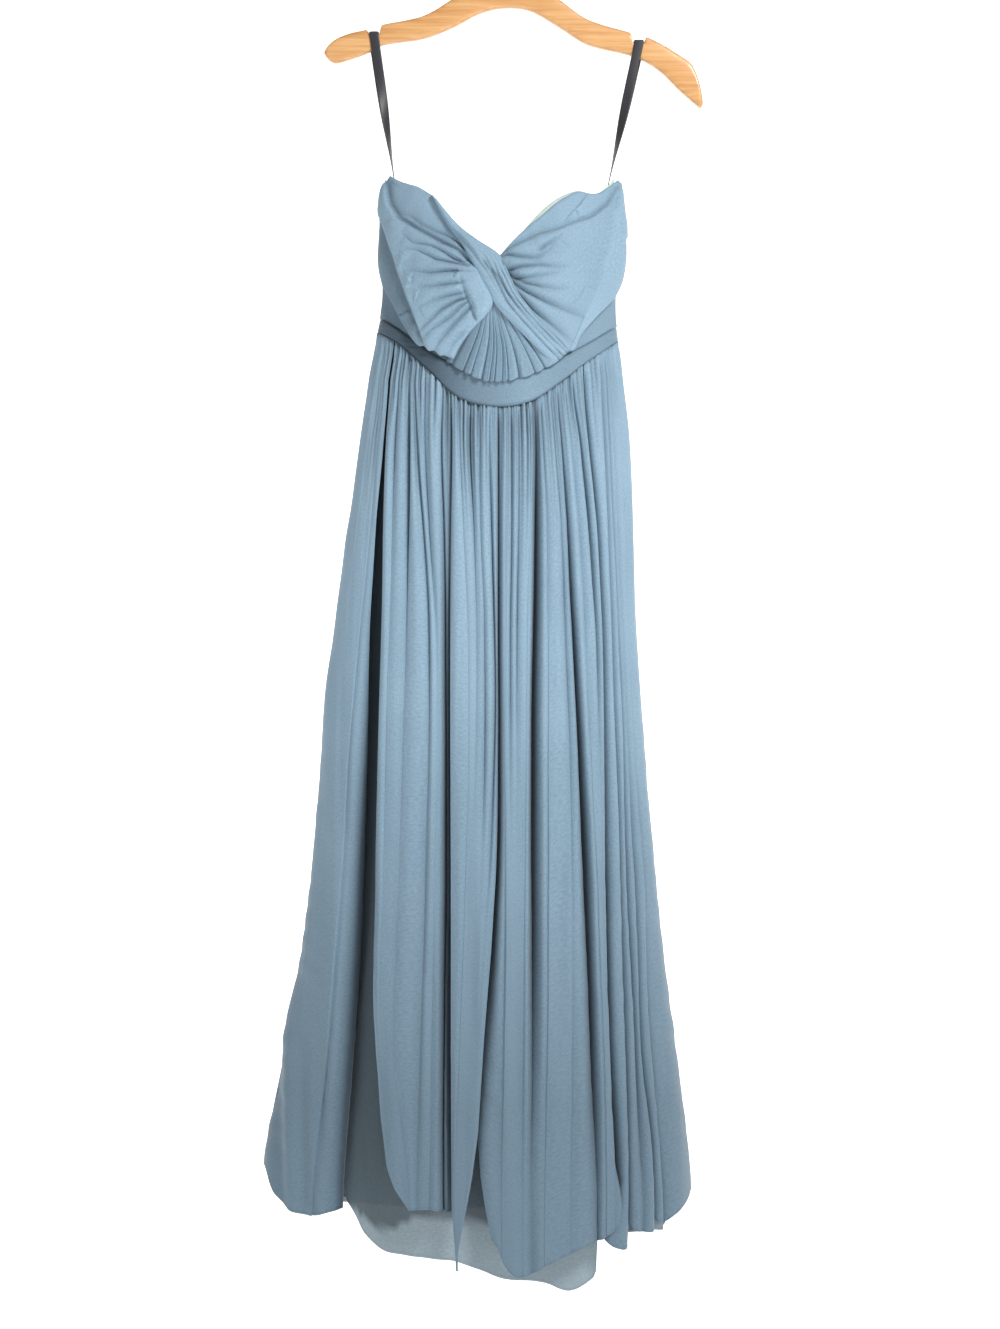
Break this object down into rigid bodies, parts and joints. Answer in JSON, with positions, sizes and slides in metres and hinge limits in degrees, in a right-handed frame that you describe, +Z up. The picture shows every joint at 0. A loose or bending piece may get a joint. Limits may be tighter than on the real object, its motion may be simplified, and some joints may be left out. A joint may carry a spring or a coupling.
{
  "type": "maxi dress on a wooden hanger",
  "caption": "Long strapless gown with a twisted, draped bodice and a gathered skirt of overlapping panels, hanging by ribbon loops from a notched wooden hanger.",
  "frame": {"origin": "the hook's seat: the inner top of the hanger's hook, where it hangs on a rail", "axes": "+Z up, -Y towards the front of the dress, +X to the viewer's right when the front is seen"},
  "size_m": [0.53, 0.2839, 1.6326],
  "materials": {
    "cloth": "soft matte chiffon with a faint sheen",
    "under": "sheer matte chiffon",
    "lining": "smooth matte lining",
    "ribbon": "black satin ribbon",
    "wood": "clear varnish",
    "steel": "polished",
    "zip": "matte woven tape"
  },
  "bodies": {
    "dress": {"hanger_body": "wood", "hanger_hook": "steel", "loop_left": "ribbon", "loop_right": "ribbon", "bodice_lining": "lining", "bodice_side_left": "cloth", "bodice_side_right": "cloth", "cup_left": "cloth", "cup_right": "cloth", "twist_band": "cloth", "fan": "cloth", "band_front": "cloth", "bodice_back_left": "cloth", "bodice_back_right": "cloth", "band_back_left": "cloth", "band_back_right": "cloth", "skirt_left": "cloth", "skirt_front_left": "cloth", "skirt_centre": "cloth", "skirt_front_right": "cloth", "skirt_right": "cloth", "skirt_back_left": "cloth", "skirt_back_right": "cloth", "skirt_under": "under", "zip_tape": "zip", "zip_slider": "steel"},
    "pull_tab": {"zip_pull": "steel"}
  },
  "joints": [
    {"name": "pull_tab_hinge", "type": "hinge", "parent": "dress", "child": "pull_tab", "pos_m": [-0.006, 0.0518, -0.43], "axis": [1, 0, 0], "range_deg": [0, 165]}
  ]
}
